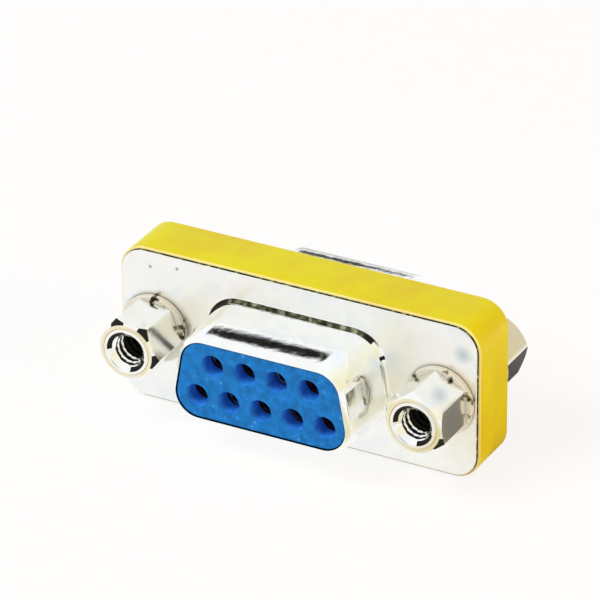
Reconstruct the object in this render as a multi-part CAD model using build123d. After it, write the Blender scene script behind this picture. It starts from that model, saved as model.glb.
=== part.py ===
from build123d import *
import os
from math import cos, radians, tan

os.makedirs("parts", exist_ok=True)

# Slimline nine-way D connector gender changer, sockets on both faces.
# X runs along its length, the front face looks towards -Y and Z is up.
# The origin is on the surface it stands on, below the middle of the body.

# Contact pattern: four over five, the rows half a pitch apart
CONTACT_PITCH = 2.77
ROW_SPACING = 2.84
TOP_COUNT = 4
BOTTOM_COUNT = 5

# Connector shells, drawn from plated steel sheet; the hood's margins run from
# the outer contacts' centres to its sides, before its corners are rounded
SHEET = 0.42
HOOD_SIDE_MARGIN = 2.96
HOOD_TOP_MARGIN = 2.53
HOOD_SLOPE = 10
HOOD_CORNER = 2.59
HOOD_LENGTH = 6.05
HOOD_NOSE = 0.95
HOOD_BEND = 0.4
LIP_INSET = 0.86

# Insulators, one in each shell, meeting in the middle of the body
BASE_SIDE_MARGIN = 1.0
BASE_TOP_MARGIN = 1.35
BASE_CORNER = 0.8
FACE_SINK = 0.1
HOLE_DIAMETER = 1.87

# Contacts: tubes rolled from strip and pressed into both insulators, a socket at each end
TUBE_SINK = 1.45
SOCKET_DIAMETER = 1.06
SEAM_GAP = 0.2

# Hexagonal standoffs, one at each side of both faces
HOOD_TO_SCREW = 3.995
STANDOFF_FLATS = 4.76
STANDOFF_LENGTH = 4.16
STANDOFF_FACE = 4.4
THREAD_MAJOR = 2.84
THREAD_MINOR = 2.28
THREAD_DEPTH = 3.5
MOUTH_DIAMETER = 3.3
STUD_END_GAP = 0.6

# Split lock washers under the standoffs
WASHER_DIAMETER = 5.7
WASHER_THICKNESS = 0.6
WASHER_GAP = 0.35
WASHER_LEAN = 25

# Hexagonal threaded inserts that the studs pull up against
INSERT_FLATS = 4.1

# Body frame, moulded in one piece; the end margin runs from the screws' centres
BODY_END_MARGIN = 3.205
BODY_TOP_MARGIN = 1.35
BODY_DEPTH = 5.3
BODY_CORNER = 2.2
BODY_EDGE = 0.12
PLATE_RIM = 0.25

# Clearances
PLATE_GAP = 0.1
SEAT_GAP = 0.03
SLIDE_GAP = 0.05
THREAD_GAP = 0.02
STUD_GAP = 0.12

# What follows from the sizes above
HOOD_WIDTH = (BOTTOM_COUNT - 1) * CONTACT_PITCH + 2 * HOOD_SIDE_MARGIN
HOOD_HEIGHT = ROW_SPACING + 2 * HOOD_TOP_MARGIN
BASE_WIDTH = HOOD_WIDTH + 2 * BASE_SIDE_MARGIN
BASE_HEIGHT = HOOD_HEIGHT + 2 * BASE_TOP_MARGIN
HALF_SPACING = HOOD_WIDTH / 2 + HOOD_TO_SCREW
BODY_WIDTH = 2 * (HALF_SPACING + BODY_END_MARGIN)
BODY_HEIGHT = BASE_HEIGHT + 2 * BODY_TOP_MARGIN
FACE = BODY_DEPTH / 2
PLATE_BACK = FACE - SHEET
HOOD_REACH = FACE + HOOD_LENGTH
STANDOFF_SEAT = FACE + WASHER_THICKNESS
STANDOFF_REACH = STANDOFF_SEAT + STANDOFF_LENGTH
STUD_HOLE = THREAD_MAJOR + 2 * STUD_GAP
NOSE_BEVEL = (HOOD_NOSE - SHEET) * (2 - 2**0.5)

# Both faces are drawn looking at them, with their middle at half the height
FRONT = Plane(origin=(0, 0, BODY_HEIGHT / 2), x_dir=(1, 0, 0), z_dir=(0, -1, 0))
REAR = Plane(origin=(0, 0, BODY_HEIGHT / 2), x_dir=(-1, 0, 0), z_dir=(0, 1, 0))

# Corner angle of each hexagon, as it happened to tighten up
STANDOFF_TURN = {"front_left": -7, "front_right": 34, "rear_right": -12, "rear_left": 20}
WASHER_TURN = {"front_left": 205, "front_right": 250, "rear_right": 300, "rear_left": 130}


def save(shape, node):
    """Writes one piece under its own name."""
    export_step(shape, "parts/" + node + ".step")


def block(outline, low, high):
    """The outline extruded outwards from low to high above the middle plane."""
    return Pos(0, 0, low) * extrude(outline, high - low)


def d_outline(inset=0):
    """Outline of the hood, wide side down, drawn in by inset all round."""
    slope = radians(HOOD_SLOPE)
    width = HOOD_WIDTH - 2 * inset * (tan(slope) + 1 / cos(slope))
    outline = Trapezoid(width, HOOD_HEIGHT - 2 * inset, 90 - HOOD_SLOPE)
    return fillet(outline.vertices(), HOOD_CORNER - inset)


def hexagon(flats, turn=0):
    """Hexagon of this width across its flats, with a corner at this angle."""
    return RegularPolygon(flats / 2, 6, major_radius=False, rotation=turn)


def body_outline(inset=0):
    """Outline of the body, drawn in by inset all round."""
    width, height = BODY_WIDTH - 2 * inset, BODY_HEIGHT - 2 * inset
    return RectangleRounded(width, height, BODY_CORNER - inset)


def edges_at(shape, height):
    """Edges that lie in the plane at this height."""
    return shape.edges().filter_by_position(Axis.Z, height, height)


def hood_edges_at(shape, height):
    """Edges at this height that go round the hood, and not round the plate."""
    across = edges_at(shape, height).filter_by_position(Axis.X, -HOOD_WIDTH / 2, HOOD_WIDTH / 2)
    return across.filter_by_position(Axis.Y, -HOOD_HEIGHT / 2, HOOD_HEIGHT / 2)


def contact_places():
    """Centres of the contacts, left to right, top row first."""
    places = []
    for count, side in ((TOP_COUNT, 1), (BOTTOM_COUNT, -1)):
        for i in range(count):
            places.append(((i - (count - 1) / 2) * CONTACT_PITCH, side * ROW_SPACING / 2))
    return places


def body_frame():
    """Frame around both connectors, rabbeted for the shells' plates."""
    frame = block(body_outline(), -FACE, FACE)
    frame = chamfer(edges_at(frame, FACE) + edges_at(frame, -FACE), BODY_EDGE)
    for low, high in ((-FACE, -PLATE_BACK), (PLATE_BACK, FACE)):
        frame -= block(body_outline(PLATE_RIM), low, high)
    width, height = BASE_WIDTH + 2 * SLIDE_GAP, BASE_HEIGHT + 2 * SLIDE_GAP
    frame -= block(RectangleRounded(width, height, BASE_CORNER + SLIDE_GAP), -FACE, FACE)
    for side in (-1, 1):
        frame -= Pos(side * HALF_SPACING, 0, 0) * block(hexagon(INSERT_FLATS + 2 * SEAT_GAP), -FACE, FACE)
    return frame


def shell():
    """Plate and hood in one sheet, the hood's mouth curled in to a lip."""
    plate = block(body_outline(PLATE_RIM + PLATE_GAP), PLATE_BACK, FACE)
    hood = block(d_outline(), PLATE_BACK, HOOD_REACH)
    hood = fillet(edges_at(hood, HOOD_REACH), HOOD_NOSE)
    sheet = plate + hood
    sheet = chamfer(hood_edges_at(sheet, FACE), HOOD_BEND)

    hollow = block(d_outline(SHEET), PLATE_BACK, HOOD_REACH - SHEET)
    sheet -= chamfer(edges_at(hollow, HOOD_REACH - SHEET), NOSE_BEVEL)
    sheet = chamfer(hood_edges_at(sheet, PLATE_BACK), HOOD_BEND)

    sheet -= block(d_outline(LIP_INSET), PLATE_BACK, HOOD_REACH)
    for side in (-1, 1):
        sheet -= Pos(side * HALF_SPACING, 0, 0) * block(Circle(STUD_HOLE / 2), PLATE_BACK, FACE)
    return sheet


def insulator():
    """Base behind the plate and nose inside the hood, bored for the contacts."""
    moulding = block(RectangleRounded(BASE_WIDTH, BASE_HEIGHT, BASE_CORNER), 0, PLATE_BACK)
    moulding += block(d_outline(SHEET + SLIDE_GAP), 0, HOOD_REACH - SHEET - NOSE_BEVEL)
    moulding += block(d_outline(LIP_INSET + SLIDE_GAP), 0, HOOD_REACH - FACE_SINK)
    hole = block(Circle(HOLE_DIAMETER / 2), 0, HOOD_REACH)
    for x, y in contact_places():
        moulding -= Pos(x, y, 0) * hole
    return moulding


def contact():
    """Tube through both insulators, its seam left open so that it springs onto a pin."""
    reach = HOOD_REACH - FACE_SINK - TUBE_SINK
    section = Circle(HOLE_DIAMETER / 2 - SEAT_GAP) - Circle(SOCKET_DIAMETER / 2)
    section -= Rectangle(SEAM_GAP, HOLE_DIAMETER, align=(Align.CENTER, Align.MIN))
    return block(section, -reach, reach)


def standoff(turn):
    """Hexagon with a threaded hole in its outer end and a stud on its inner one."""
    bar = block(hexagon(STANDOFF_FLATS, turn), STANDOFF_SEAT, STANDOFF_REACH)
    corner = STANDOFF_FLATS / 2 / cos(radians(30))
    chamfer_depth = corner - STANDOFF_FACE / 2
    turned = Polyline(
        (0, STANDOFF_SEAT),
        (corner, STANDOFF_SEAT),
        (corner, STANDOFF_REACH - chamfer_depth),
        (STANDOFF_FACE / 2, STANDOFF_REACH),
        (0, STANDOFF_REACH),
        close=True,
    )
    bar &= revolve(Plane.XZ * make_face(turned), Axis.Z)
    bar += block(Circle(THREAD_MAJOR / 2), STUD_END_GAP / 2, STANDOFF_SEAT)

    bore, mouth = THREAD_MINOR / 2, MOUTH_DIAMETER / 2
    bored = Polyline(
        (0, STANDOFF_REACH - THREAD_DEPTH),
        (bore, STANDOFF_REACH - THREAD_DEPTH),
        (bore, STANDOFF_REACH - (mouth - bore)),
        (mouth, STANDOFF_REACH),
        (0, STANDOFF_REACH),
        close=True,
    )
    return bar - revolve(Plane.XZ * make_face(bored), Axis.Z)


def lock_washer(turn):
    """Ring with one leaning split."""
    ring = Circle(WASHER_DIAMETER / 2) - Circle(STUD_HOLE / 2)
    washer = block(ring, FACE, STANDOFF_SEAT)
    side = (Align.MIN, Align.CENTER, Align.CENTER)
    split = Box(WASHER_DIAMETER / 2, WASHER_GAP, 3 * WASHER_THICKNESS, align=side)
    middle = Pos(0, 0, (FACE + STANDOFF_SEAT) / 2)
    return washer - Rot(0, 0, turn) * middle * Rot(WASHER_LEAN, 0, 0) * split


def threaded_insert():
    """Hexagonal bush as long as its pocket, tapped right through."""
    return block(hexagon(INSERT_FLATS) - Circle(THREAD_MAJOR / 2 + THREAD_GAP), -PLATE_BACK, PLATE_BACK)


save(FRONT * body_frame(), "body_frame")
for face, plane in (("front", FRONT), ("rear", REAR)):
    save(plane * shell(), face + "_shell")
    save(plane * insulator(), face + "_insulator")

for number, (x, y) in enumerate(contact_places(), 1):
    save(FRONT * Pos(x, y, 0) * contact(), f"contact_{number}")

# Left and right are as seen from the front, so they change sides on the rear plane
for face, plane, right in (("front", FRONT, 1), ("rear", REAR, -1)):
    for hand, side in (("left", -right), ("right", right)):
        corner_name = face + "_" + hand
        seat = plane * Pos(side * HALF_SPACING, 0, 0)
        save(seat * standoff(STANDOFF_TURN[corner_name]), corner_name + "_standoff")
        save(seat * lock_washer(WASHER_TURN[corner_name]), corner_name + "_lock_washer")

for hand, side in (("left", -1), ("right", 1)):
    save(FRONT * Pos(side * HALF_SPACING, 0, 0) * threaded_insert(), hand + "_threaded_insert")
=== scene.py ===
"""Looks of a nine-way D connector gender changer, built over its construction model."""
from math import acos, atan2, ceil, cos, hypot, pi, radians, sin, tan

import bmesh
import bpy
from bpy.props import FloatProperty, FloatVectorProperty, PointerProperty
from mathutils import Matrix, Vector
from mathutils.geometry import tessellate_polygon


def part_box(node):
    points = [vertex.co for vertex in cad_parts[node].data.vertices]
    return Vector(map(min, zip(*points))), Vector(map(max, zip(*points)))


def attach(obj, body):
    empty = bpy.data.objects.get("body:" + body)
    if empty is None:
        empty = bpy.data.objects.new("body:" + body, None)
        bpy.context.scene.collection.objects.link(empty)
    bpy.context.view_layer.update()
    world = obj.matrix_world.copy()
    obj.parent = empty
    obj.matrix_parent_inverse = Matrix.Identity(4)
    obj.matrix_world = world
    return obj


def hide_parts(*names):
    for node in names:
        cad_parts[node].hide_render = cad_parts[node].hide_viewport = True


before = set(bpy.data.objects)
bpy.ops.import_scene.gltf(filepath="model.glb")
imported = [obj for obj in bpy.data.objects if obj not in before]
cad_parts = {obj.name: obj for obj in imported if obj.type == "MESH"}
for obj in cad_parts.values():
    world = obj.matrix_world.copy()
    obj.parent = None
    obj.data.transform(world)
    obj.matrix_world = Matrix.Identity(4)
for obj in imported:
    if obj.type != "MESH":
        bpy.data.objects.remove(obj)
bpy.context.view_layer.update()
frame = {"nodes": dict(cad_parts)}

bl_info = {
    "name": "Gender changer",
    "version": (1, 0, 0),
    "blender": (4, 5, 0),
    "location": "3D View > Sidebar > Gender changer",
    "description": "Builds a nine-way D connector gender changer and its studio",
    "category": "Object",
}

# Everything is in metres, in the frame's axes: X along the changer, its front face
# towards -Y, Z up from the surface it stands on
MM = 0.001
FACES = ("front", "rear")
HANDS = ("left", "right")
# Each face is drawn as one sees it, so on the rear one X runs the other way
MIRROR = {"front": 1, "rear": -1}
CORNERS = [face + "_" + hand for face in FACES for hand in HANDS]
CONTACTS = [f"contact_{number}" for number in range(1, 10)]

# Sizes that the frame gives
BODY_LOW, BODY_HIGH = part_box("body_frame")
BODY_SIZE = BODY_HIGH - BODY_LOW
MIDDLE = BODY_SIZE.z / 2
FACE = BODY_HIGH.y
PLATE_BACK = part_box("left_threaded_insert")[1].y
SHEET = FACE - PLATE_BACK
HOOD_REACH = -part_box("front_shell")[0].y
BASE_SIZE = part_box("front_insulator")[1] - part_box("front_insulator")[0]
BLUE_REACH = -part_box("front_insulator")[0].y
WASHER_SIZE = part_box("front_left_lock_washer")[1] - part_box("front_left_lock_washer")[0]
STANDOFF_SEAT = FACE + WASHER_SIZE.y
STANDOFF_REACH = -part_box("front_left_standoff")[0].y
STUD_END = -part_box("front_left_standoff")[1].y
SCREW_OFFSET = (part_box("right_threaded_insert")[0].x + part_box("right_threaded_insert")[1].x) / 2
INSERT_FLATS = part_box("left_threaded_insert")[1].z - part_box("left_threaded_insert")[0].z

# Camera, as the photograph was taken: turned round the middle of the body, then
# moved across and up its own picture
CAMERA_AZIMUTH = radians(28.41)
CAMERA_ELEVATION = radians(28.35)
CAMERA_ROLL = radians(-0.48)
CAMERA_DISTANCE = 394.6 * MM
CAMERA_ASIDE = -1.002 * MM
CAMERA_RISE = 3.665 * MM
CAMERA_LENS = 304.9

# Steps round an outline's corner, round an edge and round a hole, then round the fine
# edges of the sheet and of the plastic
ARC_STEPS = 12
ROUND_STEPS = 6
HOLE_STEPS = 48
SHEET_EDGE_STEPS = 4
HOLE_EDGE_STEPS = 3

# Finishes by their order among a piece's materials: of the frame, of a contact carrier,
# of a shell and of a standoff
MOULDED, EDGE_HIGHLIGHT = range(2)
CARRIER, BORE = range(2)
HOOD, PLATE, CUT_EDGE, SHADED_BEND = range(4)
PLATED, PAINTED_DARK, WORN = range(3)


def linear(code):
    """Linear colour of an sRGB hex code."""
    channels = [int(code[i:i + 2], 16) / 255 for i in (1, 3, 5)]
    return [c / 12.92 if c <= 0.04045 else ((c + 0.055) / 1.055) ** 2.4 for c in channels]


class HoodSizes(bpy.types.PropertyGroup):
    """Sizes of the drawn steel shells and of the plastic in them."""
    width: FloatProperty(
        name="Hood width", description="Wide side of the D before its corners are rounded",
        default=17.0 * MM, unit="LENGTH")
    height: FloatProperty(
        name="Hood height", description="Height of the D", default=7.9 * MM, unit="LENGTH")
    slope: FloatProperty(
        name="Hood slope", description="Lean of the D's short sides",
        default=radians(10), subtype="ANGLE")
    corner: FloatProperty(
        name="Hood corner", description="Radius of the D's corners",
        default=2.59 * MM, unit="LENGTH")
    nose: FloatProperty(
        name="Nose radius", description="Radius of the hood's rounded mouth",
        default=0.95 * MM, unit="LENGTH")
    bend: FloatProperty(
        name="Bend radius", description="Radius where the hood rises from its plate",
        default=0.4 * MM, unit="LENGTH")
    # How far the painted shade along the bend reaches, to the right of the middle
    rubbed: FloatProperty(
        name="Rubbed as far as",
        description="Where the die's mark on the bend ends, to the right of the middle",
        default=6.5 * MM, unit="LENGTH")
    lip: FloatProperty(
        name="Lip inset", description="How far the mouth's lip is drawn in",
        default=0.62 * MM, unit="LENGTH")
    draft: FloatProperty(
        name="Nose draft", description="Lean of the hood where its nose begins",
        default=radians(10.5), subtype="ANGLE")
    taper: FloatProperty(
        name="Nose taper", description="How far the hood draws in before its nose",
        default=0.23 * MM, unit="LENGTH")
    edge: FloatProperty(
        name="Sheet edge", description="Radius of the plate's cut edge",
        default=0.07 * MM, unit="LENGTH")
    slide: FloatProperty(
        name="Slide gap", description="Gap between the plastic and the hood",
        default=0.08 * MM, unit="LENGTH")
    hole: FloatProperty(
        name="Contact hole", description="Diameter of the plastic's holes",
        default=1.87 * MM, unit="LENGTH")
    hole_edge: FloatProperty(
        name="Hole edge", description="Radius round each hole and round the blue face",
        default=0.07 * MM, unit="LENGTH")


class BodySizes(bpy.types.PropertyGroup):
    """Sizes of the moulded frame round both shells."""
    corner: FloatProperty(
        name="Body corner", description="Radius of the body's corners",
        default=2.2 * MM, unit="LENGTH")
    edge: FloatProperty(
        name="Body edge", description="Radius of the body's outer edges",
        default=0.12 * MM, unit="LENGTH")
    rim: FloatProperty(
        name="Plate rim", description="Wall of the body outside the plates",
        default=0.18 * MM, unit="LENGTH")
    sunk: FloatProperty(
        name="Rim step", description="How far that wall stays behind the plates' faces",
        default=0.25 * MM, unit="LENGTH")
    base_corner: FloatProperty(
        name="Base corner", description="Radius of the opening for the plastic bases",
        default=0.85 * MM, unit="LENGTH")


class ScrewSizes(bpy.types.PropertyGroup):
    """Sizes of the standoffs and of what they clamp."""
    flats: FloatProperty(
        name="Across flats", description="Width of the hexagon", default=4.76 * MM, unit="LENGTH")
    arris: FloatProperty(
        name="Arris", description="Radius of the hexagon's long edges",
        default=0.12 * MM, unit="LENGTH")
    ring: FloatProperty(
        name="Ring face", description="Diameter of the turned end face",
        default=4.46 * MM, unit="LENGTH")
    # Within this of the flats' middles the chamfer keeps its plating; further out it may be painted
    # dark as a reflection
    bare: FloatProperty(
        name="Bare chamfer", description="Chamfer at the flats' middles that the tool left clean",
        default=0.06 * MM, unit="LENGTH")
    line: FloatProperty(
        name="Turned line", description="Diameter of the fine line turned in the end face",
        default=3.95 * MM, unit="LENGTH")
    mouth: FloatProperty(
        name="Mouth", description="Diameter of the countersink", default=3.3 * MM, unit="LENGTH")
    major: FloatProperty(
        name="Thread major", description="Thread diameter at its roots",
        default=2.84 * MM, unit="LENGTH")
    minor: FloatProperty(
        name="Thread minor", description="Thread diameter at its crests",
        default=2.28 * MM, unit="LENGTH")
    pitch: FloatProperty(
        name="Thread pitch", description="Forty turns to the inch",
        default=25.4 / 40 * MM, unit="LENGTH")
    depth: FloatProperty(
        name="Thread depth", description="Depth of the tapped hole",
        default=3.5 * MM, unit="LENGTH")
    stud_hole: FloatProperty(
        name="Stud hole", description="Hole in the plates and washers",
        default=3.08 * MM, unit="LENGTH")
    split: FloatProperty(
        name="Washer split", description="Gap between a lock washer's ends",
        default=0.35 * MM, unit="LENGTH")
    lean: FloatProperty(
        name="Split lean", description="Lean of a lock washer's split",
        default=radians(25), subtype="ANGLE")
    washer_edge: FloatProperty(
        name="Washer edge", description="Radius of a lock washer's edges",
        default=0.1 * MM, unit="LENGTH")


class Finishes(bpy.types.PropertyGroup):
    """Colours of the surfaces."""
    frame: FloatVectorProperty(
        name="Frame", description="Moulded frame", subtype="COLOR", default=linear("#EEE604"))
    # The frame rim colour is a painted highlight on the frame's rounded front and back edges
    rim: FloatVectorProperty(
        name="Frame rim", description="Frame where handling has rubbed it pale", subtype="COLOR",
        default=linear("#FFF8A0"))
    insulator: FloatVectorProperty(
        name="Insulator", description="Moulded contact carrier", subtype="COLOR",
        default=linear("#1C80D2"))
    # The hole colour is a paler blue than the face: painted light inside the shaded holes
    hole: FloatVectorProperty(
        name="Contact hole", description="Carrier inside its holes, where cores polished it",
        subtype="COLOR", default=linear("#3A94F4"))
    sheet: FloatVectorProperty(
        name="Sheet", description="Plated steel shells", subtype="COLOR", default=linear("#FFFFFC"))
    standoff: FloatVectorProperty(
        name="Standoff", description="Plated standoffs", subtype="COLOR", default=linear("#FFFEFA"))
    ring: FloatVectorProperty(
        name="Ring face", description="Nickel worn thin over brass", subtype="COLOR",
        default=linear("#F9F0D0"))
    # The contact colour is gold as it looks in shade: painted shade
    contact: FloatVectorProperty(
        name="Contact", description="Gold flash on the contacts", subtype="COLOR",
        default=linear("#8C3A34"))
    insert: FloatVectorProperty(
        name="Insert", description="Turned brass inserts", subtype="COLOR",
        default=linear("#C9A24E"))
    floor: FloatVectorProperty(
        name="Floor", description="Studio floor and background", subtype="COLOR",
        default=linear("#FFFFFF"))


def add(tree, kind, sockets=None, **settings):
    """Adds a node; a socket given another node's output is linked, any other value is set."""
    made = tree.nodes.new(kind)
    for name, value in settings.items():
        setattr(made, name, value)
    for name, value in (sockets or {}).items():
        if isinstance(value, bpy.types.NodeSocket):
            tree.links.new(value, made.inputs[name])
        else:
            made.inputs[name].default_value = value
    return made


def new_material(name):
    """An empty node material of this name, its tree, and the place in its object's axes."""
    material = bpy.data.materials.new(name)
    material.use_nodes = True
    tree = material.node_tree
    tree.nodes.clear()
    return material, tree, add(tree, "ShaderNodeTexCoord").outputs["Object"]


def studio_rays(tree, path):
    """1 for a ray that shows the studio, straight, in polish or through glass, otherwise 0."""
    indirect = add(tree, "ShaderNodeMath", {
        0: path.outputs["Is Glossy Ray"], 1: path.outputs["Is Transmission Ray"]},
        operation="MAXIMUM")
    return add(tree, "ShaderNodeMath", {
        0: path.outputs["Is Camera Ray"], 1: indirect.outputs["Value"]},
        operation="MAXIMUM").outputs["Value"]


def shade_ramp(tree, factor, stops):
    """Colour ramp from (position, colour) stops."""
    ramp = add(tree, "ShaderNodeValToRGB", {"Fac": factor})
    for _ in stops[2:]:
        ramp.color_ramp.elements.new(0.5)
    for element, (position, colour) in zip(ramp.color_ramp.elements, stops):
        element.position = position
        element.color = (*colour, 1)
    return ramp.outputs["Color"]


def tint(colour, factor):
    """The colour made lighter or darker by a factor, kept within white."""
    return [min(1, c * factor) for c in colour]


def moulded_abs(name, colour):
    """Yellow ABS from a polished mould: evenly glossy, faintly rippled, its pigment cloudy."""
    material, tree, place = new_material(name)
    cloud_size = 4 * MM
    cloud = add(tree, "ShaderNodeTexNoise", {"Vector": place, "Scale": 1 / cloud_size, "Detail": 3})
    # Where pigment gathers, red stays and green and blue drop
    deeper = [share * c for share, c in zip((0.97, 0.87, 0.9), colour)]
    paint = shade_ramp(tree, cloud.outputs["Fac"], [(0.32, deeper), (0.6, tint(colour, 1.02))])
    # Real mould texture is about 0.05 mm; it is drawn at 0.15 mm so that it shows
    grain_size = 0.15 * MM
    grain = add(tree, "ShaderNodeTexNoise", {"Vector": place, "Scale": 1 / grain_size, "Detail": 2})
    bump = add(tree, "ShaderNodeBump", {
        "Height": grain.outputs["Fac"], "Strength": 0.35, "Distance": 0.01 * MM})
    gloss = add(tree, "ShaderNodeMapRange", {
        "Value": cloud.outputs["Fac"], "To Min": 0.3, "To Max": 0.42})
    shader = add(tree, "ShaderNodeBsdfPrincipled", {
        "Base Color": paint, "Roughness": gloss.outputs["Result"], "IOR": 1.53,
        "Specular IOR Level": 0.2, "Normal": bump.outputs["Normal"]})
    add(tree, "ShaderNodeOutputMaterial", {"Surface": shader.outputs["BSDF"]})
    return material


def glass_filled_pbt(name, colour):
    """Blue PBT filled with glass fibre: matt, with pale flecks where fibres lie at the skin."""
    material, tree, place = new_material(name)
    cloud_size = 0.6 * MM
    cloud = add(tree, "ShaderNodeTexNoise", {"Vector": place, "Scale": 1 / cloud_size, "Detail": 4})
    paint = shade_ramp(tree, cloud.outputs["Fac"], [
        (0.34, tint(colour, 0.78)), (0.66, tint(colour, 1.16))])
    # Fibres are about 0.01 mm thick; the flecks are drawn 0.2 mm wide so that they show
    fleck_size = 0.4 * MM
    fleck = add(tree, "ShaderNodeTexVoronoi", {"Vector": place, "Scale": 1 / fleck_size})
    near = add(tree, "ShaderNodeMapRange", {
        "Value": fleck.outputs["Distance"], "From Min": 0.1, "From Max": 0.34,
        "To Min": 1, "To Max": 0})
    patch = add(tree, "ShaderNodeMapRange", {
        "Value": cloud.outputs["Fac"], "From Min": 0.56, "From Max": 0.68,
        "To Min": 0, "To Max": 0.6})
    share = add(tree, "ShaderNodeMath", {
        0: near.outputs["Result"], 1: patch.outputs["Result"]}, operation="MULTIPLY")
    flecked = add(tree, "ShaderNodeMix", {
        "Factor": share.outputs["Value"], "A": paint, "B": (*linear("#8CC4EC"), 1)},
        data_type="RGBA")
    bump = add(tree, "ShaderNodeBump", {
        "Height": fleck.outputs["Distance"], "Strength": 0.25, "Distance": 0.01 * MM})
    shader = add(tree, "ShaderNodeBsdfPrincipled", {
        "Base Color": flecked.outputs["Result"], "Roughness": 0.55, "IOR": 1.56,
        "Specular IOR Level": 0.12, "Normal": bump.outputs["Normal"]})
    add(tree, "ShaderNodeOutputMaterial", {"Surface": shader.outputs["BSDF"]})
    return material


def plated_metal(name, colour, shadow, ripple_size, ripple_depth, roughness, nicks_and_reflection=()):
    """Bright plating: mirror-like, rippled by the metal under it, with painted shade in its creases
    and any listed spots.
    """
    material, tree, place = new_material(name)
    cloud_size, crease_reach, bloom = 2.5 * MM, 0.7 * MM, linear("#F4F8FC")
    cloud = add(tree, "ShaderNodeTexNoise", {"Vector": place, "Scale": 1 / cloud_size, "Detail": 5})
    paint = shade_ramp(tree, cloud.outputs["Fac"], [
        (0.28, tint(colour, 0.94)), (0.5, colour), (0.72, bloom)])
    # Each listed spot is mixed into the colour: the nicks, and one painted reflection
    for spot, reach, code in nicks_and_reflection:
        away = add(tree, "ShaderNodeVectorMath", {0: place, 1: spot}, operation="DISTANCE")
        share = add(tree, "ShaderNodeMapRange", {
            "Value": away.outputs["Value"], "From Max": reach, "To Min": 0.85, "To Max": 0})
        paint = add(tree, "ShaderNodeMix", {
            "Factor": share.outputs["Result"], "A": paint, "B": (*linear(code), 1)},
            data_type="RGBA").outputs["Result"]
    # Ambient occlusion darkens the colour towards the shadow colour in creases: painted shade
    crease = add(tree, "ShaderNodeAmbientOcclusion", {"Distance": crease_reach}, samples=8)
    depth = add(tree, "ShaderNodeMapRange", {
        "Value": crease.outputs["AO"], "From Min": 0.25, "From Max": 0.75,
        "To Min": 1, "To Max": 0})
    crease_shaded = add(tree, "ShaderNodeMix", {
        "Factor": depth.outputs["Result"], "A": paint, "B": (*shadow, 1)}, data_type="RGBA")
    ripple = add(tree, "ShaderNodeTexNoise", {
        "Vector": place, "Scale": 1 / ripple_size, "Detail": 2})
    bump = add(tree, "ShaderNodeBump", {
        "Height": ripple.outputs["Fac"], "Strength": 1, "Distance": ripple_depth})
    gloss = add(tree, "ShaderNodeMapRange", {
        "Value": cloud.outputs["Fac"], "To Min": roughness * 0.8, "To Max": roughness * 1.2})
    shader = add(tree, "ShaderNodeBsdfPrincipled", {
        "Base Color": crease_shaded.outputs["Result"], "Metallic": 1, "Roughness": gloss.outputs["Result"],
        "Normal": bump.outputs["Normal"]})
    add(tree, "ShaderNodeOutputMaterial", {"Surface": shader.outputs["BSDF"]})
    return material


def drawn_steel(colour):
    """Steel sheet, deep drawn and tin plated: a bright mirror with the drawing's soft waves."""
    return plated_metal(
        "drawn_steel_bright_tin_plated", colour, shadow=linear("#3A3833"),
        ripple_size=0.9 * MM, ripple_depth=0.016 * MM, roughness=0.08)


# A grey-blue patch on the front plate, a painted reflection, and two nicks in it: where each is,
# how far it reaches, and its colour
PLATE_NICKS_AND_REFLECTION = (
    ((14.3 * MM, -FACE, 10.9 * MM), 0.95 * MM, "#B9C7D3"),
    ((-12.9 * MM, -FACE, 11.85 * MM), 0.2 * MM, "#3A3A30"),
    ((-10.5 * MM, -FACE, 12.2 * MM), 0.2 * MM, "#3A3A30"),
)


def rolled_steel(colour):
    """The same sheet where the die left it flat: satin, so that it mirrors only soft smudges."""
    return plated_metal(
        "rolled_steel_tin_plated", colour, shadow=linear("#4A473E"),
        ripple_size=1.1 * MM, ripple_depth=0.006 * MM, roughness=0.32, nicks_and_reflection=PLATE_NICKS_AND_REFLECTION)


def streaked_metal(name, stops, streak_size, clear=1):
    """Dull, streaked metal, black further out than clear.

    clear is measured in metres from the middle, and its default lies beyond the changer.
    """
    fade = 0.7 * MM
    material, tree, place = new_material(name)
    streak = add(tree, "ShaderNodeTexNoise", {
        "Vector": place, "Scale": 1 / streak_size, "Detail": 4})
    paint = shade_ramp(tree, streak.outputs["Fac"], [(at, linear(code)) for at, code in stops])
    across = add(tree, "ShaderNodeSeparateXYZ", {"Vector": place})
    out = add(tree, "ShaderNodeMath", {0: across.outputs["X"]}, operation="ABSOLUTE")
    # Further out than clear the colour turns black: painted shade, where the bend uses it
    black = add(tree, "ShaderNodeMapRange", {
        "Value": out.outputs["Value"], "From Min": clear, "From Max": clear + fade})
    paint = add(tree, "ShaderNodeMix", {
        "Factor": black.outputs["Result"], "A": paint, "B": (*linear("#12110A"), 1)},
        data_type="RGBA").outputs["Result"]
    # Torn metal is about 0.03 mm fine; it is drawn at 0.12 mm so that it shows
    grain_size = 0.12 * MM
    grain = add(tree, "ShaderNodeTexNoise", {"Vector": place, "Scale": 1 / grain_size, "Detail": 2})
    bump = add(tree, "ShaderNodeBump", {
        "Height": grain.outputs["Fac"], "Strength": 0.6, "Distance": 0.01 * MM})
    shader = add(tree, "ShaderNodeBsdfPrincipled", {
        "Base Color": paint, "Metallic": 0.5, "Roughness": 0.55, "Normal": bump.outputs["Normal"]})
    add(tree, "ShaderNodeOutputMaterial", {"Surface": shader.outputs["BSDF"]})
    return material


def sheared_steel_and_shade():
    """Sheet edge where the press cut it: bare and torn, with bright streaks of plating, and painted
    dark as a reflection.
    """
    stops = [(0.46, "#131106"), (0.55, "#4A4830"), (0.62, "#CFC99A")]
    return streaked_metal("sheared_steel_bare_painted_shade", stops, streak_size=0.5 * MM)


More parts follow.
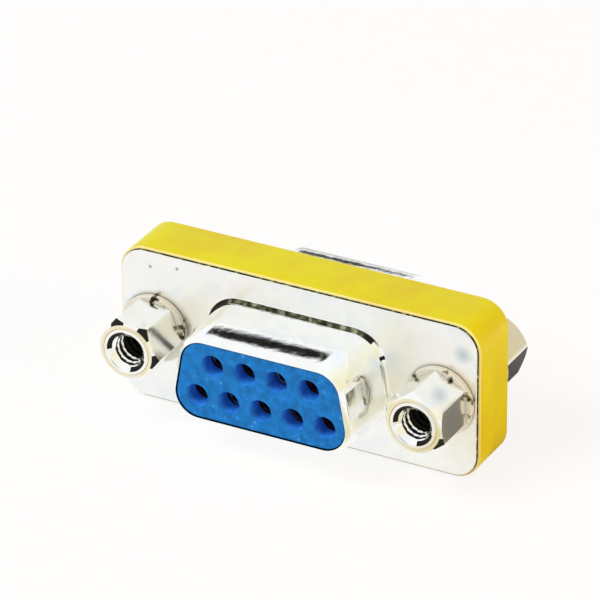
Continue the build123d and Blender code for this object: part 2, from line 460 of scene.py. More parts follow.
def shaded_bend_steel():
    """Bend where the hood rises, with painted shade: streaked grey-green, darker in places."""
    stops = [(0.38, "#1E1F12"), (0.5, "#55573F"), (0.64, "#A9AB90")]
    return streaked_metal("tin_plated_steel_painted_bend_shade", stops, streak_size=0.7 * MM, clear=5.6 * MM)


def nickel_plated_brass(colour):
    """Brass bar, turned and then nickel plated: warm and mirror-like, its flats a bit uneven."""
    return plated_metal(
        "turned_brass_nickel_plated", colour, shadow=linear("#1C1915"),
        ripple_size=0.9 * MM, ripple_depth=0.004 * MM, roughness=0.16)


def worn_nickel(colour):
    """Nickel rubbed thin, so that the brass under it shows through: cream and satin."""
    return plated_metal(
        "nickel_worn_to_brass", colour, shadow=linear("#5A4A26"),
        ripple_size=0.3 * MM, ripple_depth=0.002 * MM, roughness=0.3)


def brass_painted_dark():
    """Brass painted nearly black, with dull glints: painted dark reflection on chamfers and
    countersink, painted shade in the thread.
    """
    stops = [(0.4, "#080604"), (0.6, "#1B1610"), (0.75, "#4A4030")]
    return streaked_metal("brass_painted_shade_and_reflection", stops, streak_size=0.5 * MM)


def zinc_plated_spring_steel():
    """Spring wire, coiled, flattened and zinc plated: dull cream, with black patches of painted
    shade.
    """
    stops = [(0.34, "#100D08"), (0.39, "#8E8468"), (0.44, "#F4EFE0")]
    return streaked_metal("coiled_spring_steel_zinc_plated_painted_shade", stops, streak_size=1.0 * MM)


def gold_flashed_bronze(colour):
    """Phosphor bronze strip, rolled to a tube and gold flashed: its colour painted dark red, as
    gold looks in shade.
    """
    return plated_metal(
        "rolled_bronze_gold_flashed_painted_shade", colour, shadow=linear("#120608"),
        ripple_size=0.4 * MM, ripple_depth=0.003 * MM, roughness=0.3)


def turned_brass(colour):
    """Plain drawn brass bar, cut, drilled and tapped: warm and satin, a bit uneven."""
    return plated_metal(
        "drawn_brass_plain", colour, shadow=linear("#4A3512"),
        ripple_size=0.6 * MM, ripple_depth=0.004 * MM, roughness=0.28)


# Patches on the floor that only polish mirrors: a painted shadow with a warm edge behind the
# changer's right end, and a warm card before it
MIRRORED_SHADOW = (15 * MM, 14 * MM, 0)
MIRRORED_SHADOW_REACH = 40 * MM
WARM_CARD = (20 * MM, -17 * MM, 0)
WARM_CARD_FULL = 9 * MM
WARM_CARD_REACH = 15 * MM


def studio_white(colour):
    """Matt white background paper: even white to the eye, keeping a faint soft shadow."""
    material, tree, place = new_material("seamless_paper_white")
    path = add(tree, "ShaderNodeLightPath")
    clump_size, glow_share = 0.5 * MM, 0.85
    clumps = add(tree, "ShaderNodeTexNoise", {"Scale": 1 / clump_size, "Detail": 2})
    fibre = shade_ramp(tree, clumps.outputs["Fac"], [(0.3, tint(colour, 0.97)), (0.7, colour)])
    lit = add(tree, "ShaderNodeBsdfDiffuse", {"Color": fibre, "Roughness": 1})
    # Painted shadow of the changer behind its right end, seen only in reflections
    away = add(tree, "ShaderNodeVectorMath", {0: place, 1: MIRRORED_SHADOW}, operation="DISTANCE")
    reach = add(tree, "ShaderNodeMapRange", {
        "Value": away.outputs["Value"], "From Max": MIRRORED_SHADOW_REACH})
    mirrored_shadow = shade_ramp(tree, reach.outputs["Result"], [
        (0.15, linear("#0A0A08")), (0.22, linear("#5A594E")), (0.31, linear("#5A594E")),
        (0.36, linear("#F0E8C4")), (0.46, colour)])
    ahead = add(tree, "ShaderNodeVectorMath", {0: place, 1: WARM_CARD}, operation="DISTANCE")
    warm = add(tree, "ShaderNodeMapRange", {
        "Value": ahead.outputs["Value"], "From Min": WARM_CARD_FULL, "From Max": WARM_CARD_REACH,
        "To Min": 1, "To Max": 0})
    cards = add(tree, "ShaderNodeMix", {
        "Factor": warm.outputs["Result"], "A": mirrored_shadow, "B": (*linear("#E6E2C0"), 1)},
        data_type="RGBA")
    shade = add(tree, "ShaderNodeMix", {
        "Factor": path.outputs["Is Glossy Ray"], "A": (*colour, 1), "B": cards.outputs["Result"]},
        data_type="RGBA")
    glow = add(tree, "ShaderNodeEmission", {"Color": shade.outputs["Result"], "Strength": 1})
    share = add(tree, "ShaderNodeMath", {
        0: studio_rays(tree, path), 1: glow_share}, operation="MULTIPLY")
    paper = add(tree, "ShaderNodeMixShader", {
        0: share.outputs["Value"], 1: lit.outputs["BSDF"], 2: glow.outputs["Emission"]})
    add(tree, "ShaderNodeOutputMaterial", {"Surface": paper.outputs["Shader"]})
    return material


def arc(centre, radius, start, end, steps=ARC_STEPS):
    """Points on an arc about a centre, both ends included."""
    turns = [start + (end - start) * i / steps for i in range(steps + 1)]
    return [(centre[0] + radius * cos(a), centre[1] + radius * sin(a)) for a in turns]


def circle(centre, diameter, steps=HOLE_STEPS):
    """Points on a circle."""
    return arc(centre, diameter / 2, 0, 2 * pi * (1 - 1 / steps), steps - 1)


def rounded_rectangle(width, height, radius):
    """Points round a rectangle with rounded corners, about the middle."""
    across, up = width / 2 - radius, height / 2 - radius
    corners = ((across, up), (-across, up), (-across, -up), (across, -up))
    outline = []
    for quarter, centre in enumerate(corners):
        outline += arc(centre, radius, quarter * pi / 2, (quarter + 1) * pi / 2)
    return outline


def hexagon(centre, flats, turn=0):
    """Corners of a hexagon of this width across its flats, the first at this angle."""
    return arc(centre, flats / 2 / cos(pi / 6), turn, turn + 5 * pi / 3, 5)


def d_outline(hood, inset):
    """Points round the hood's D, wide side down, drawn in by inset all round."""
    half, slope, radius = hood.height / 2, hood.slope, hood.corner
    reach = radius * (tan(slope) + 1 / cos(slope))
    low = (hood.width / 2 - reach, radius - half)
    high = (hood.width / 2 - reach - (hood.height - 2 * radius) * tan(slope), half - radius)
    outline = arc(high, radius - inset, slope, pi / 2)
    outline += arc((-high[0], high[1]), radius - inset, pi / 2, pi - slope)
    outline += arc((-low[0], low[1]), radius - inset, pi - slope, 3 * pi / 2)
    outline += arc(low, radius - inset, 3 * pi / 2, 2 * pi + slope)
    return outline


def front_place(x, z, height):
    """Point of the front face: across, up, and outwards from the middle plane."""
    return Vector((x, -height, MIDDLE + z))


def rear_place(x, z, height):
    """Point of the rear face, drawn looking at it."""
    return Vector((-x, height, MIDDLE + z))


PLACES = {"front": front_place, "rear": rear_place}


class Skin:
    """Points and faces of one piece, gathered ring by ring and closed at the end."""

    def __init__(self, place):
        self.place = place
        self.points = []
        self.faces = []
        self.rounded = []
        self.finish = 0
        self.finishes = []

    def ring(self, outline, height):
        """Adds a ring at one height, or at a height for each of its points."""
        heights = height if isinstance(height, list) else [height] * len(outline)
        first = len(self.points)
        self.points += [self.place(x, z, h) for (x, z), h in zip(outline, heights)]
        return list(range(first, len(self.points)))

    def wall(self, *rings, rounded=True, finishes=None):
        """Joins each ring to the next, in one finish or in one for each face round."""
        for low, high in zip(rings, rings[1:]):
            for i in range(len(low)):
                if finishes:
                    self.finish = finishes[i]
                self.cover((low[i - 1], low[i], high[i], high[i - 1]), rounded)

    def flat(self, *rings):
        """Fills a flat face inside the first ring and outside the others."""
        indexes = [index for ring in rings for index in ring]
        loops = [[self.points[index] for index in ring] for ring in rings]
        for corners in tessellate_polygon(loops):
            self.cover([indexes[corner] for corner in corners], False)

    def cover(self, corners, rounded):
        """Adds one face, in the finish that is in use."""
        self.faces.append(corners)
        self.rounded.append(rounded)
        self.finishes.append(self.finish)

    def piece(self, name, materials, nodes, crease=radians(35)):
        """Makes the mesh, with its normals outwards, hangs it from the root body and hides the CAD
        nodes it stands for.
        """
        mesh = bpy.data.meshes.new(name)
        mesh.from_pydata(self.points, [], self.faces)
        mesh.polygons.foreach_set("use_smooth", self.rounded)
        mesh.polygons.foreach_set("material_index", self.finishes)
        solid = bmesh.new()
        solid.from_mesh(mesh)
        weld = 0.0001 * MM
        bmesh.ops.remove_doubles(solid, verts=solid.verts, dist=weld)
        bmesh.ops.recalc_face_normals(solid, faces=solid.faces)
        for edge in solid.edges:
            if len(edge.link_faces) != 2:
                raise RuntimeError(f"{name} isn't closed: an edge has {len(edge.link_faces)} faces")
            if edge.calc_face_angle() > crease:
                edge.smooth = False
        solid.to_mesh(mesh)
        solid.free()
        for material in materials:
            mesh.materials.append(material)
        made = bpy.data.objects.new(name, mesh)
        bpy.context.scene.collection.objects.link(made)
        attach(made, "root")
        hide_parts(*nodes)


def quarter(steps=ROUND_STEPS):
    """Angles of a quarter turn, both ends included."""
    return [pi / 2 * i / steps for i in range(steps + 1)]


def frame_moulding(sizes, materials):
    """The yellow frame: rounded outside, stepped back inside for both plates."""
    skin = Skin(front_place)

    def outline(inset):
        width, tall = BODY_SIZE.x - 2 * inset, BODY_SIZE.z - 2 * inset
        return rounded_rectangle(width, tall, sizes.corner - inset)

    edge, top = sizes.edge, FACE - sizes.sunk
    rings = [skin.ring(outline(sizes.rim), PLATE_BACK), skin.ring(outline(sizes.rim), top)]
    for side in (1, -1):
        for turn in quarter() if side > 0 else reversed(quarter()):
            height = side * (top - edge + edge * cos(turn))
            rings.append(skin.ring(outline(edge - edge * sin(turn)), height))
    rings += [skin.ring(outline(sizes.rim), -top), skin.ring(outline(sizes.rim), -PLATE_BACK)]
    skin.wall(*rings[:2])
    # The rounded edges take the paler yellow: a painted highlight
    skin.finish = EDGE_HIGHLIGHT
    skin.wall(*rings[1:ROUND_STEPS + 2])
    skin.finish = MOULDED
    skin.wall(*rings[ROUND_STEPS + 1:-ROUND_STEPS - 2])
    skin.finish = EDGE_HIGHLIGHT
    skin.wall(*rings[-ROUND_STEPS - 3:-1])
    skin.finish = MOULDED
    skin.wall(*rings[-2:])

    gap = 2 * bpy.context.scene.gender_changer_hood.slide
    openings = [rounded_rectangle(BASE_SIZE.x + gap, BASE_SIZE.z + gap, sizes.base_corner)]
    openings += [hexagon((side * SCREW_OFFSET, 0), INSERT_FLATS + gap) for side in (-1, 1)]
    backs = (PLATE_BACK, -PLATE_BACK)
    ends = [[skin.ring(opening, height) for opening in openings] for height in backs]
    skin.flat(rings[0], *ends[0])
    skin.flat(rings[-1], *ends[1])
    for front, rear in zip(*ends):
        skin.wall(front, rear)
    skin.piece("frame_moulding", materials, ["body_frame"])


def nose_arc(hood):
    """How far in the middle of the nose's arc lies, and the angle at which the lip ends it."""
    middle = hood.taper + hood.nose * cos(hood.draft)
    return middle, acos((middle - hood.lip) / hood.nose)


def nose_taper(hood):
    """Heights between which the hood leans in before its nose."""
    lip_turn = nose_arc(hood)[1]
    end = HOOD_REACH + hood.nose * (sin(hood.draft) - sin(lip_turn))
    return end - 2 * hood.taper / tan(hood.draft), end


def shell(face, hood, body, screw, materials):
    """Plate and hood drawn from one sheet, the hood's mouth curled in to a lip."""
    skin = Skin(PLACES[face])
    bend, nose = hood.bend, hood.nose
    steps = 8

    def hood_ring(inset, height):
        return skin.ring(d_outline(hood, inset), height)

    outside = [hood_ring(bend * (sin(t) - 1), FACE + bend * (1 - cos(t))) for t in quarter(steps)]
    taper_from, taper_to = nose_taper(hood)
    for i in range(steps + 1):
        share = i / steps
        height = taper_from + (taper_to - taper_from) * share
        outside.append(hood_ring(hood.taper * share ** 2, height))
    middle, lip_turn = nose_arc(hood)
    for i in range(1, steps + 1):
        turn = hood.draft + (lip_turn - hood.draft) * i / steps
        height = HOOD_REACH + nose * (sin(turn) - sin(lip_turn))
        outside.append(hood_ring(middle - nose * cos(turn), height))
    skin.wall(*outside[:2])
    # The bend gets painted shade round to its right side, where one short painted dark line follows
    # further up
    shade_low, shade_high = 2.15 * MM, 2.5 * MM
    rubbed = [x < hood.rubbed or shade_low < z < shade_high for x, z in d_outline(hood, 0)]
    skin.wall(*outside[1:steps], finishes=[SHADED_BEND if shaded_here else HOOD for shaded_here in rubbed])
    skin.finish = HOOD
    skin.wall(*outside[steps - 1:])

    inside = [hood_ring(hood.lip, taper_to), hood_ring(SHEET, taper_from)]
    flare = bend + SHEET
    for turn in reversed(quarter()):
        inside.append(hood_ring(flare * sin(turn) - bend, FACE + bend - flare * cos(turn)))
    skin.wall(outside[-1], *inside)

    def plate_ring(inset, height):
        inset += body.rim + hood.slide / 2
        width, tall = BODY_SIZE.x - 2 * inset, BODY_SIZE.z - 2 * inset
        return skin.ring(rounded_rectangle(width, tall, body.corner - inset), height)

    edge = hood.edge
    rim = []
    for turn in quarter(SHEET_EDGE_STEPS):
        rim.append(plate_ring(edge * (1 - sin(turn)), FACE - edge + edge * cos(turn)))
    rim.append(plate_ring(0, PLATE_BACK))
    skin.finish = PLATE
    skin.wall(*rim[:-1])
    # The cut edge is bare torn steel, painted dark as a reflection
    skin.finish = CUT_EDGE
    skin.wall(*rim[-2:])
    skin.finish = PLATE
    outlines = [circle((side * SCREW_OFFSET, 0), screw.stud_hole) for side in (-1, 1)]
    holes = [[skin.ring(hole, height) for hole in outlines] for height in (FACE, PLATE_BACK)]
    for front, back in zip(*holes):
        skin.wall(front, back)
    skin.flat(rim[0], outside[0], *holes[0])
    skin.flat(rim[-1], inside[-1], *holes[1])
    skin.piece(face + "_drawn_shell", materials, [face + "_shell"])


def contact_places(face):
    """Centres of the contacts as drawn on this face, from the frame's own contacts."""
    places = []
    for node in CONTACTS:
        low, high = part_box(node)
        x = (low.x + high.x) / 2
        z = low.z + (high.x - low.x) / 2 - MIDDLE
        places.append((MIRROR[face] * x, z))
    return places


def insulator(face, hood, body, materials):
    """Blue moulding: a base behind the plate, and a nose in the hood with nine holes."""
    skin = Skin(PLACES[face])
    base = rounded_rectangle(BASE_SIZE.x, BASE_SIZE.z, body.base_corner - hood.slide)
    back, shoulder = skin.ring(base, 0), skin.ring(base, PLATE_BACK)
    skin.wall(back, shoulder)

    inner = hood.slide + SHEET
    step = nose_taper(hood)[0]
    nose = [skin.ring(d_outline(hood, inner), height) for height in (PLATE_BACK, step)]
    skin.wall(*nose)
    edge = hood.hole_edge
    inset = hood.lip + hood.slide
    boss = [skin.ring(d_outline(hood, inset), height) for height in (step, BLUE_REACH - edge)]
    for turn in quarter(HOLE_EDGE_STEPS)[1:]:
        outline = d_outline(hood, inset + edge * (1 - cos(turn)))
        boss.append(skin.ring(outline, BLUE_REACH - edge + edge * sin(turn)))
    skin.wall(*boss)
    skin.flat(shoulder, nose[0])
    skin.flat(nose[1], boss[0])

    mouths, ends = [], []
    for centre in contact_places(face):
        rim = []
        for turn in quarter(HOLE_EDGE_STEPS):
            bore = hood.hole + 2 * edge * (1 - sin(turn))
            rim.append(skin.ring(circle(centre, bore), BLUE_REACH - edge + edge * cos(turn)))
        rim.append(skin.ring(circle(centre, hood.hole), 0))
        skin.wall(*rim[:-1])
        # The hole walls take the paler blue: painted light
        skin.finish = BORE
        skin.wall(*rim[-2:])
        skin.finish = CARRIER
        mouths.append(rim[0])
        ends.append(rim[-1])
    skin.flat(boss[-1], *mouths)
    skin.flat(back, *ends)
    skin.piece(face + "_contact_carrier", materials, [face + "_insulator"])


def hexagon_bar(flats, arris, turn):
    """Points round a hexagon with rounded arrises, enough of them for the turned chamfer."""
    arris_steps, side_steps = 4, 10
    outline = []
    corner = flats / 2 / cos(pi / 6) - arris / cos(pi / 6)
    for k in range(6):
        angle = turn + k * pi / 3
        centre = (corner * cos(angle), corner * sin(angle))
        outline += arc(centre, arris, angle - pi / 6, angle + pi / 6, arris_steps)
        after, square = angle + pi / 3, angle + pi / 6
        start = outline[-1]
        end = (corner * cos(after) + arris * cos(square), corner * sin(after) + arris * sin(square))
        for i in range(1, side_steps):
            outline.append(tuple(a + (b - a) * i / side_steps for a, b in zip(start, end)))
    return outline


def standoff_turn(node, centre):
    """Angle of the corner nearest the right, read from the CAD hexagon's outline."""
    x0, z0 = centre
    far = max(
        frame["nodes"][node].data.vertices,
        key=lambda v: hypot(v.co.x - x0, v.co.z - z0))
    return (atan2(far.co.z - z0, far.co.x - x0) + pi / 6) % (pi / 3) - pi / 6


def thread_radius(screw, turn, depth):
    """Radius of the tapped hole at this angle and depth below the ring face."""
    minor, major = screw.minor / 2, screw.major / 2
    # The crest and each flank take these shares of the pitch
    crest, flank = 0.25, 0.3
    along = (depth / screw.pitch + turn / (2 * pi)) % 1
    if along < crest:
        rise = 0
    elif along < crest + flank:
        rise = (along - crest) / flank
    elif along < 1 - flank:
        rise = 1
    else:
        rise = (1 - along) / flank
    return max(minor + (major - minor) * rise, screw.mouth / 2 - depth)


# Arcs of the countersink painted dark as a reflection, in degrees round it
COUNTERSINK_DARK_ARCS = ((100, 190), (285, 350))


def bore_finish(screw, turn, depth):
    """Finish of the tapped hole: painted dark reflection in arcs of the countersink, painted shade
    in the roots further in and all round deeper.
    """
    dark_arcs_end, root_shade_begins, dark_begins, root_rise = 0.27 * MM, 0.6 * MM, 1.7 * MM, 0.08 * MM
    if depth < dark_arcs_end:
        degrees_round = turn * 180 / pi % 360
        dark = any(start < degrees_round < end for start, end in COUNTERSINK_DARK_ARCS)
    else:
        root = thread_radius(screw, turn, depth) > screw.minor / 2 + root_rise
        dark = depth > dark_begins or root and depth > root_shade_begins
    return PAINTED_DARK if dark else PLATED


# Corners whose chamfers are painted black as a dark reflection, counted leftwards from the one
# nearest the right
CHAMFER_DARK_REFLECTION = {
    "front_left": (0, 1, 2), "front_right": (0,), "rear_left": (1, 4), "rear_right": (0, 3)}


def standoff(corner, screw, materials):
    """Hexagon standoff: turned chamfer and ring face, a tapped hole and a stud behind."""
    face = corner.split("_")[0]
    node = corner + "_standoff"
    low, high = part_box(node)
    x, z = (low.x + high.x) / 2, (low.z + high.z) / 2
    mirror, spot = MIRROR[face], PLACES[face]
    turn = mirror * standoff_turn(node, (x, z))
    skin = Skin(lambda u, v, height: spot(u + mirror * x, v + z - MIDDLE, height))

    bar = hexagon_bar(screw.flats, screw.arris, turn)
    turns = [atan2(v, u) for u, v in bar]
    radii = [hypot(u, v) for u, v in bar]

    def turned(radius):
        return [(radius * cos(a), radius * sin(a)) for a in turns]

    foot = skin.ring(bar, STANDOFF_SEAT)
    ring_radius = screw.ring / 2
    shoulder = skin.ring(bar, [STANDOFF_REACH - max(0, radius - ring_radius) for radius in radii])
    # Half the width of the ring face's softened edges and of the line turned in it
    soft = 0.05 * MM
    rim = skin.ring(turned(ring_radius + soft), STANDOFF_REACH - soft)
    ring_face = skin.ring(turned(ring_radius - soft), STANDOFF_REACH)
    skin.wall(foot, shoulder)
    # On the listed corners the chamfer beyond the plated band is painted dark as a reflection
    dark_corners = [round((a - turn) / (pi / 3)) % 6 in CHAMFER_DARK_REFLECTION[corner] for a in turns]
    clean = screw.flats / 2 + screw.bare
    skin.wall(shoulder, rim, finishes=[
        PAINTED_DARK if in_dark_corner and radius > clean else PLATED for in_dark_corner, radius in zip(dark_corners, radii)])
    skin.finish = WORN
    skin.wall(rim, ring_face)

    rows_per_turn = 14
    rows = ceil(screw.depth / screw.pitch * rows_per_turn)
    bore = [skin.ring(turned(screw.mouth / 2 + soft), STANDOFF_REACH)]
    tool_mark = []
    for wider, deeper in ((soft, 0), (0, soft), (-soft, 0)):
        tool_mark.append(skin.ring(turned(screw.line / 2 + wider), STANDOFF_REACH - deeper))
    skin.wall(ring_face, *tool_mark, rounded=False)
    skin.finish = PLATED
    skin.wall(tool_mark[-1], bore[0], rounded=False)
    for row in range(1, rows + 1):
        depth = screw.depth * row / rows
        section = []
        for a in turns:
            radius = thread_radius(screw, a, depth)
            section.append((radius * cos(a), radius * sin(a)))
        bore.append(skin.ring(section, STANDOFF_REACH - depth))
        skin.wall(*bore[-2:], finishes=[bore_finish(screw, a, depth) for a in turns])
    # The hole's floor is painted dark as shade
    skin.finish = PAINTED_DARK
    skin.flat(bore[-1])
    skin.finish = PLATED

    tip, rod = 0.2 * MM, circle((0, 0), screw.major)
    stud = [skin.ring(rod, STANDOFF_SEAT), skin.ring(rod, STUD_END + tip)]
    stud.append(skin.ring(circle((0, 0), screw.major - 2 * tip), STUD_END))
    skin.wall(*stud)
    skin.flat(foot, stud[0])
    skin.flat(stud[-1])
    skin.piece(corner + "_tapped_standoff", materials, [node])


# Where each lock washer is split, in degrees round from the right
WASHER_TURNS = {"front_left": 205, "front_right": 250, "rear_left": 130, "rear_right": 300}


def lock_washer(corner, screw, turn, material):
    """One turn of flattened spring wire with leaning cut ends."""
    face = corner.split("_")[0]
    node = corner + "_lock_washer"
    low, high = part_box(node)
    x = MIRROR[face] * (low.x + high.x) / 2
    inner, outer = screw.stud_hole / 2, WASHER_SIZE.x / 2
    middle = (inner + outer) / 2
    section = rounded_rectangle(outer - inner, WASHER_SIZE.y, screw.washer_edge)
    heights = [FACE + WASHER_SIZE.y / 2 + v for _, v in section]
    skin = Skin(PLACES[face])
    rings = []
    steps = 90
    # Angle of half the split
    gap = screw.split / (inner + outer)
    for i in range(steps + 1):
        angle = turn + gap + (2 * pi - 2 * gap) * i / steps
        outline = []
        for u, v in section:
            leaning = angle + v * tan(screw.lean) / middle
            outline.append((x + (middle + u) * cos(leaning), (middle + u) * sin(leaning)))
        rings.append(skin.ring(outline, heights))
    skin.wall(*rings)
    for ring in (rings[0], rings[-1]):
        skin.cover(ring, False)
    skin.piece(corner + "_spring_washer", [material], [node])


def dress(nodes, material):
    """Gives CAD pieces their finish."""
    for node in nodes:
        mesh = frame["nodes"][node].data
        mesh.materials.clear()
        mesh.materials.append(material)


class FrameOperator(bpy.types.Operator):
    """Builds the moulded frame"""
    bl_idname = "gender_changer.frame"
    bl_label = "Frame"

    def execute(self, context):
        scene = context.scene
        colours = scene.gender_changer_finishes
        materials = [
            # The second, paler material paints a highlight on the rounded edges
            moulded_abs("moulded_abs_yellow", colours.frame),
            moulded_abs("abs_yellow_painted_edge_highlight", colours.rim)]
        frame_moulding(scene.gender_changer_body, materials)
        return {"FINISHED"}


class ShellsOperator(bpy.types.Operator):
    """Builds both drawn shells"""
    bl_idname = "gender_changer.shells"
    bl_label = "Shells"

    def execute(self, context):
        scene = context.scene
        sheet = scene.gender_changer_finishes.sheet
        materials = [drawn_steel(sheet), rolled_steel(sheet), sheared_steel_and_shade(), shaded_bend_steel()]
        sizes = (scene.gender_changer_hood, scene.gender_changer_body, scene.gender_changer_screw)
        for face in FACES:
            shell(face, *sizes, materials)
        return {"FINISHED"}


class InsulatorsOperator(bpy.types.Operator):
    """Builds both contact carriers"""
    bl_idname = "gender_changer.insulators"
    bl_label = "Insulators"

    def execute(self, context):
        scene = context.scene
        colours = scene.gender_changer_finishes
        materials = [
            glass_filled_pbt("moulded_glass_filled_pbt_blue", colours.insulator),
            # The second blue is paler: painted light for the hole walls
            glass_filled_pbt("glass_filled_pbt_blue_painted_light", colours.hole)]
        for face in FACES:
            insulator(face, scene.gender_changer_hood, scene.gender_changer_body, materials)
        return {"FINISHED"}


class ContactsOperator(bpy.types.Operator):
    """Gives the nine rolled contacts their finish"""
    bl_idname = "gender_changer.contacts"
    bl_label = "Contacts"

    def execute(self, context):
        # The contacts' dark red is gold painted as in shade
        dress(CONTACTS, gold_flashed_bronze(context.scene.gender_changer_finishes.contact))
        return {"FINISHED"}


class StandoffsOperator(bpy.types.Operator):
    """Builds the four tapped standoffs"""
    bl_idname = "gender_changer.standoffs"
    bl_label = "Standoffs"

    def execute(self, context):
        scene = context.scene
        colours = scene.gender_changer_finishes
        materials = [
            nickel_plated_brass(colours.standoff), brass_painted_dark(), worn_nickel(colours.ring)]
        for corner in CORNERS:
            standoff(corner, scene.gender_changer_screw, materials)
        return {"FINISHED"}


class WashersOperator(bpy.types.Operator):
    """Builds the four lock washers"""
    bl_idname = "gender_changer.washers"
    bl_label = "Lock washers"

    def execute(self, context):
        # The washers' black patches are painted shade
        material = zinc_plated_spring_steel()
        for corner, degrees in WASHER_TURNS.items():
            lock_washer(corner, context.scene.gender_changer_screw, radians(degrees), material)
        return {"FINISHED"}


class InsertsOperator(bpy.types.Operator):
    """Gives the threaded inserts their finish"""
    bl_idname = "gender_changer.inserts"
    bl_label = "Threaded inserts"

    def execute(self, context):
        nodes = [hand + "_threaded_insert" for hand in HANDS]
        dress(nodes, turned_brass(context.scene.gender_changer_finishes.insert))
        return {"FINISHED"}


def camera():
    """Camera where the photograph was taken from."""
    azimuth, elevation = CAMERA_AZIMUTH, CAMERA_ELEVATION
    across = Vector((cos(azimuth), sin(azimuth), 0))
    back = Vector((sin(azimuth) * cos(elevation), -cos(azimuth) * cos(elevation), sin(elevation)))
    up = back.cross(across)
    right = across * cos(CAMERA_ROLL) + up * sin(CAMERA_ROLL)
    top = up * cos(CAMERA_ROLL) - across * sin(CAMERA_ROLL)
    data = bpy.data.cameras.new("camera")
    data.lens = CAMERA_LENS
    data.clip_start = 10 * MM
    made = bpy.data.objects.new("camera", data)
    middle = Vector((0, 0, MIDDLE))
    where = middle + right * CAMERA_ASIDE + top * CAMERA_RISE + back * CAMERA_DISTANCE
    made.matrix_world = Matrix.Translation(where) @ Matrix((right, top, back)).transposed().to_4x4()
    bpy.context.scene.collection.objects.link(made)
    bpy.context.scene.camera = made


def area_lamp(name, place, size, power, colour):
    """Soft square lamp that looks at the changer, and that polish doesn't mirror."""
    data = bpy.data.lights.new(name, "AREA")
    data.size = size
    data.energy = power
    data.color = colour
    made = bpy.data.objects.new(name, data)
    made.location = place
    aim = Vector((0, 0, MIDDLE)) - Vector(place)
    made.rotation_euler = aim.to_track_quat("-Z", "Y").to_euler()
    made.visible_glossy = False
    bpy.context.scene.collection.objects.link(made)


# Cards that the polished metal mirrors: where each stands, its half width in degrees
# where it is full and where it ends, and its colour
CARDS = (
    ((0, -0.998, 0.06), 11, 19, "#171410"),
    ((-0.42, 0.63, 0.65), 5, 7.5, "#0C0A06"),
    ((-0.42, 0.907, 0.04), 5, 9, "#C4C8C8"),
    ((-0.42, 0.872, 0.252), 1, 3.5, "#34341C"),
    ((0.36, 0.774, 0.521), 3, 7, "#1C1A12"),
    ((0.516, 0.774, 0.367), 3, 6, "#C9B482"),
    ((-0.604, -0.774, 0.189), 6, 10, "#E2CF7E"),
)


def surroundings():
    """White studio all round, with cards in it that only polished metal mirrors."""
    world = bpy.data.worlds.new("studio")
    world.use_nodes = True
    tree = world.node_tree
    tree.nodes.clear()
    path = add(tree, "ShaderNodeLightPath")
    towards = add(tree, "ShaderNodeTexCoord").outputs["Generated"]
    part = add(tree, "ShaderNodeSeparateXYZ", {"Vector": towards})
    # Warmer towards the right: a little in polish, and much more on matt surfaces
    side = add(tree, "ShaderNodeMapRange", {
        "Value": part.outputs["X"], "From Min": 0.1, "From Max": 0.9})
    ceiling = add(tree, "ShaderNodeMix", {
        "Factor": side.outputs["Result"],
        "A": (*linear("#FCFEFF"), 1), "B": (*linear("#F6F0CC"), 1)},
        data_type="RGBA").outputs["Result"]
    bounce = add(tree, "ShaderNodeMix", {
        "Factor": side.outputs["Result"], "A": (1, 1, 1, 1), "B": (*linear("#FF8E24"), 1)},
        data_type="RGBA").outputs["Result"]
    for direction, inner, outer, code in CARDS:
        facing = add(tree, "ShaderNodeVectorMath", {
            0: towards, 1: direction}, operation="DOT_PRODUCT")
        share = add(tree, "ShaderNodeMapRange", {
            "Value": facing.outputs["Value"],
            "From Min": cos(radians(outer)), "From Max": cos(radians(inner))})
        ceiling = add(tree, "ShaderNodeMix", {
            "Factor": share.outputs["Result"], "A": ceiling, "B": (*linear(code), 1)},
            data_type="RGBA").outputs["Result"]
    seen = studio_rays(tree, path)
    behind = add(tree, "ShaderNodeMix", {
        "Factor": path.outputs["Is Camera Ray"], "A": ceiling, "B": (1, 1, 1, 1)},
        data_type="RGBA").outputs["Result"]
    colour = add(tree, "ShaderNodeMix", {
        "Factor": seen, "A": bounce, "B": behind}, data_type="RGBA")
    matt_level = 0.42
    level = add(tree, "ShaderNodeMapRange", {"Value": seen, "To Min": matt_level, "To Max": 1})
    sky = add(tree, "ShaderNodeBackground", {
        "Color": colour.outputs["Result"], "Strength": level.outputs["Result"]})
    add(tree, "ShaderNodeOutputWorld", {"Surface": sky.outputs["Background"]})
    bpy.context.scene.world = world


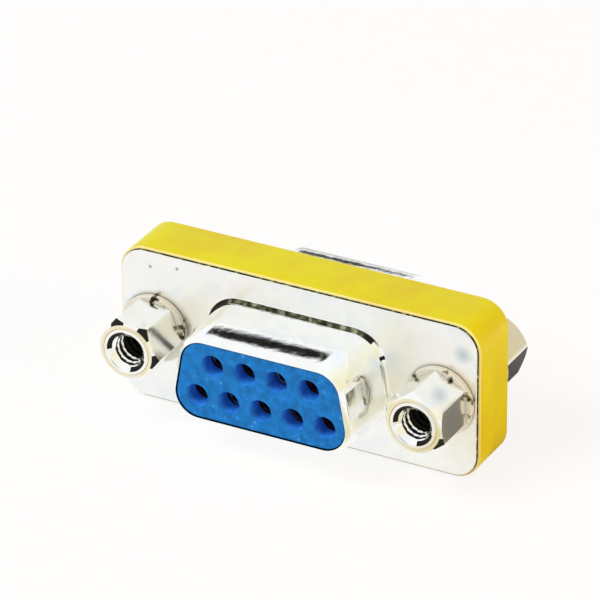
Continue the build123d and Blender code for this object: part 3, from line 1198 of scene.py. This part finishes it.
class StudioOperator(bpy.types.Operator):
    """Builds the floor, the lamps and the camera"""
    bl_idname = "gender_changer.studio"
    bl_label = "Studio"

    def execute(self, context):
        reach = 2.0
        mesh = bpy.data.meshes.new("floor")
        corners = [(-reach, -reach, 0), (reach, -reach, 0), (reach, reach, 0), (-reach, reach, 0)]
        mesh.from_pydata(corners, [], [(0, 1, 2, 3)])
        mesh.materials.append(studio_white(context.scene.gender_changer_finishes.floor))
        floor = bpy.data.objects.new("floor", mesh)
        context.scene.collection.objects.link(floor)
        area_lamp(
            "key", place=(-0.18, -0.22, 0.32), size=0.22, power=1.05, colour=(0.96, 0.98, 1.0))
        area_lamp(
            "fill", place=(0.34, -0.06, 0.12), size=0.2, power=0.46, colour=(1.0, 0.8, 0.48))
        surroundings()
        camera()
        context.scene.view_settings.view_transform = "Standard"
        return {"FINISHED"}


class ChangerPanel(bpy.types.Panel):
    """Lists the steps that build the changer"""
    bl_idname = "VIEW3D_PT_gender_changer"
    bl_label = "Gender changer"
    bl_space_type = "VIEW_3D"
    bl_region_type = "UI"
    bl_category = "Gender changer"

    def draw(self, context):
        for operator in OPERATORS:
            self.layout.operator(operator.bl_idname)


OPERATORS = (
    FrameOperator,
    ShellsOperator,
    InsulatorsOperator,
    ContactsOperator,
    StandoffsOperator,
    WashersOperator,
    InsertsOperator,
    StudioOperator,
)
GROUPS = {
    "gender_changer_hood": HoodSizes,
    "gender_changer_body": BodySizes,
    "gender_changer_screw": ScrewSizes,
    "gender_changer_finishes": Finishes,
}


def register():
    for group in GROUPS.values():
        bpy.utils.register_class(group)
    for operator in OPERATORS:
        bpy.utils.register_class(operator)
    bpy.utils.register_class(ChangerPanel)
    for name, group in GROUPS.items():
        setattr(bpy.types.Scene, name, PointerProperty(type=group))


def unregister():
    for name in GROUPS:
        delattr(bpy.types.Scene, name)
    bpy.utils.unregister_class(ChangerPanel)
    for operator in reversed(OPERATORS):
        bpy.utils.unregister_class(operator)
    for group in GROUPS.values():
        bpy.utils.unregister_class(group)


def main():
    """Builds every piece and the studio."""
    register()
    bpy.ops.gender_changer.frame()
    bpy.ops.gender_changer.shells()
    bpy.ops.gender_changer.insulators()
    bpy.ops.gender_changer.contacts()
    bpy.ops.gender_changer.standoffs()
    bpy.ops.gender_changer.washers()
    bpy.ops.gender_changer.inserts()
    bpy.ops.gender_changer.studio()


if __name__ == "__main__":
    main()
